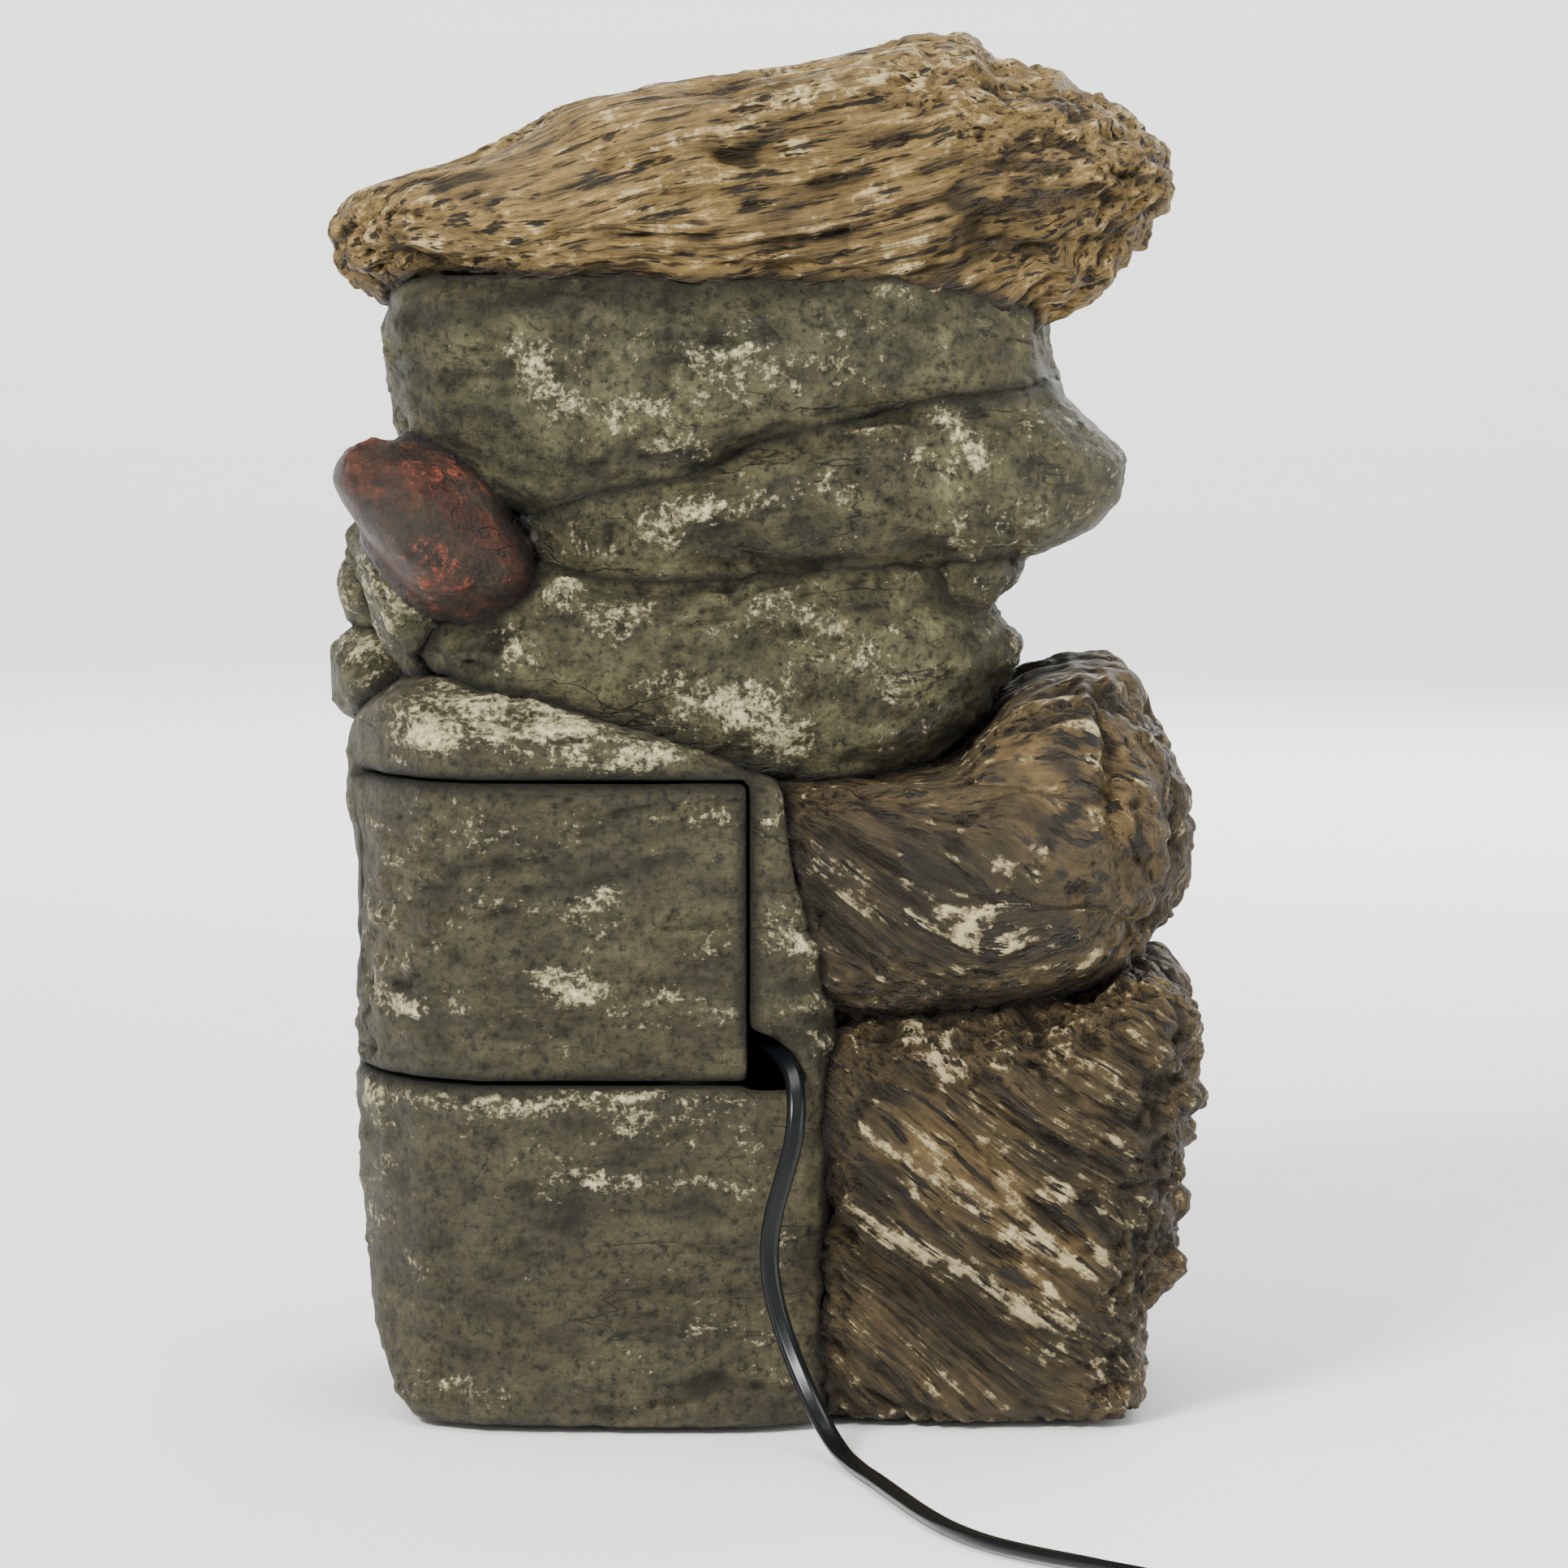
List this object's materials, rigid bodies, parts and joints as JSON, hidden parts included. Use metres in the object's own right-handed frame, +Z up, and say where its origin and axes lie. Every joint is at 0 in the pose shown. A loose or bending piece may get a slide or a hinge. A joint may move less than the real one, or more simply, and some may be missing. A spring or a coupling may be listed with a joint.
{
  "type": "tabletop water fountain",
  "caption": "Tabletop fountain cast as stacked stones and driftwood, with stepped bowls, a basin, a rear access cover, a submersible pump and a thin power cord.",
  "frame": {"origin": "on the ground, under the middle of the box of the castings", "axes": "+Z up; -Y is the side where the water falls; +Y is the side with the access cover and the cord; +X is to the right seen from the water side"},
  "size_m": [0.186, 0.3605, 0.2794],
  "materials": {
    "cast_stone": "satin",
    "cast_driftwood": "satin",
    "red_stone": "gloss",
    "river_stone": "satin",
    "foot_rubber": "matte",
    "pump_plastic": "satin",
    "pump_rubber": "matte",
    "cord_pvc": "gloss",
    "strap": "matte",
    "adapter_plastic": "satin",
    "brass": "satin",
    "hose_pvc": "gloss",
    "steel": "satin",
    "copper": "satin",
    "ferrite": "matte",
    "ceramic": "satin"
  },
  "bodies": {
    "fountain": {"reservoir_casting": "cast_stone", "upper_stone": "cast_stone", "second_stone": "cast_stone", "third_stone": "cast_stone", "wedge_stone": "cast_stone", "side_stone": "cast_stone", "rubble_stone_1": "cast_stone", "rubble_stone_2": "cast_stone", "rock_face": "cast_stone", "upper_bowl": "cast_stone", "lower_bowl": "cast_stone", "rim_stone_1": "cast_stone", "rim_stone_2": "cast_stone", "rim_stone_3": "cast_stone", "lower_log": "cast_driftwood", "middle_log": "cast_driftwood", "top_log": "cast_driftwood", "front_branch": "cast_driftwood", "middle_bowl": "cast_driftwood", "red_pebble": "red_stone", "river_pebble_2": "red_stone", "river_pebble_1": "river_stone", "river_pebble_3": "river_stone", "river_pebble_4": "river_stone", "river_pebble_5": "river_stone", "rubber_foot_1": "foot_rubber", "rubber_foot_2": "foot_rubber", "rubber_foot_3": "foot_rubber", "rubber_foot_4": "foot_rubber", "pump_housing": "pump_plastic", "pump_head": "pump_plastic", "intake_cover": "pump_plastic", "pump_back_plate": "pump_plastic", "spout_sleeve": "pump_plastic", "shaft_bush_front": "pump_rubber", "shaft_bush_rear": "pump_rubber", "head_seal": "pump_rubber", "cord_gland": "pump_rubber", "suction_cup_1": "pump_rubber", "suction_cup_2": "pump_rubber", "suction_cup_3": "pump_rubber", "suction_cup_4": "pump_rubber", "cord_inside": "cord_pvc", "cord_lead": "cord_pvc", "cord_coil": "cord_pvc", "cord_tail": "cord_pvc", "adapter_strain_relief": "cord_pvc", "cord_strap": "strap", "adapter_body": "adapter_plastic", "adapter_blade_1": "brass", "adapter_blade_2": "brass", "riser_hose": "hose_pvc", "stator_core": "steel", "stator_coil": "copper", "rotor_shaft": "ceramic"},
    "cover": {"access_cover": "cast_stone"},
    "rotor": {"rotor_magnet": "ferrite", "impeller": "pump_plastic"},
    "flow_control": {"flow_slider": "pump_plastic"}
  },
  "joints": [
    {"name": "cover_pull", "type": "slide", "parent": "fountain", "child": "cover", "axis": [0, 1, 0], "range_m": [0, 0.08]},
    {"name": "rotor_spin", "type": "hinge", "parent": "fountain", "child": "rotor", "pos_m": [0.024, 0.016, 0.031], "axis": [1, 0, 0], "continuous": true},
    {"name": "flow_slide", "type": "slide", "parent": "fountain", "child": "flow_control", "axis": [0, 1, 0], "range_m": [-0.005, 0.005]}
  ]
}
